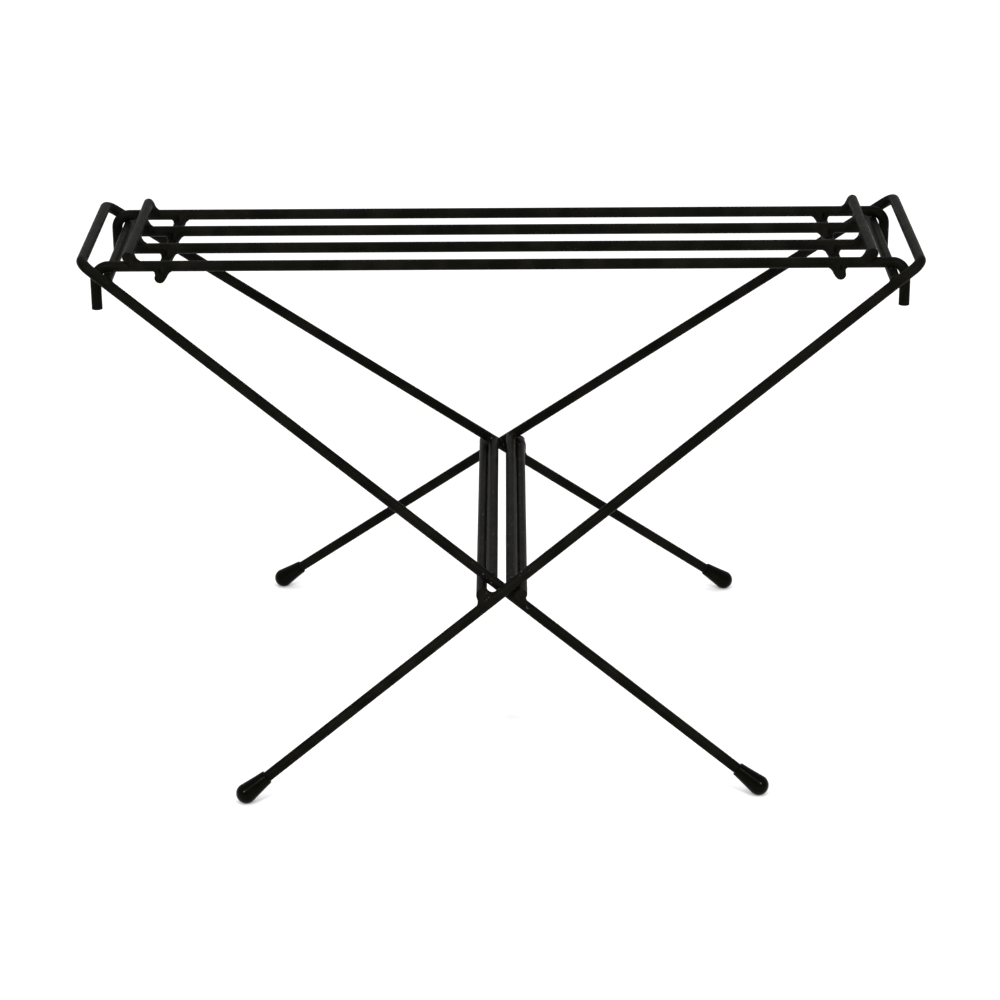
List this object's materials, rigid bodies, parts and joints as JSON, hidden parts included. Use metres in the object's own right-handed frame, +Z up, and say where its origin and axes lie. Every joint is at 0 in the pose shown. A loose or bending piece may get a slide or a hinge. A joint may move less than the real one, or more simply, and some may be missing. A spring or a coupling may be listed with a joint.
{
  "type": "folding x-leg luggage rack",
  "caption": "Free-standing folding X-leg rack of bent and welded round steel rod, with a lift-off tray of parallel rods held by hooked stubs and rubber foot caps.",
  "frame": {"origin": "centre of the footprint, on the floor", "axes": "+X along the length of the tray to the right, +Y towards the back, +Z up"},
  "size_m": [0.6216, 0.4192, 0.3836],
  "materials": {
    "black_paint": "satin black paint on mild steel rod",
    "black_rubber": "moulded black rubber, slightly glossy"
  },
  "bodies": {
    "outer_leg_frame": {"outer_leg_rod": "black_paint", "outer_cross_bar": "black_paint", "outer_brace_bar": "black_paint", "outer_stop_bar": "black_paint", "outer_frame_weld_beads": "black_paint", "outer_front_foot_cap": "black_rubber", "outer_back_foot_cap": "black_rubber"},
    "inner_leg_frame": {"inner_leg_rod": "black_paint", "inner_cross_bar": "black_paint", "inner_brace_bar": "black_paint", "inner_stop_bar": "black_paint", "inner_frame_weld_beads": "black_paint", "inner_front_foot_cap": "black_rubber", "inner_back_foot_cap": "black_rubber"},
    "tray": {"tray_front_rod": "black_paint", "tray_front_inner_rod": "black_paint", "tray_back_inner_rod": "black_paint", "tray_back_rod": "black_paint", "tray_left_upper_bar": "black_paint", "tray_right_upper_bar": "black_paint", "tray_left_lower_bar": "black_paint", "tray_right_lower_bar": "black_paint", "tray_upper_weld_beads": "black_paint", "tray_lower_weld_beads": "black_paint"}
  },
  "joints": [
    {"name": "tray_lift_off", "type": "slide", "parent": "outer_leg_frame", "child": "tray", "axis": [0, 0, 1], "range_m": [0, 0.6]},
    {"name": "inner_leg_fold", "type": "hinge", "parent": "outer_leg_frame", "child": "inner_leg_frame", "pos_m": [-0.0039, 0, 0.1509], "axis": [0, 1, 0], "range_deg": [0, 80]}
  ],
  "couplings": [
    {"joint": "inner_leg_fold", "follows": "tray_lift_off", "rad_per_m": 2.327}
  ]
}
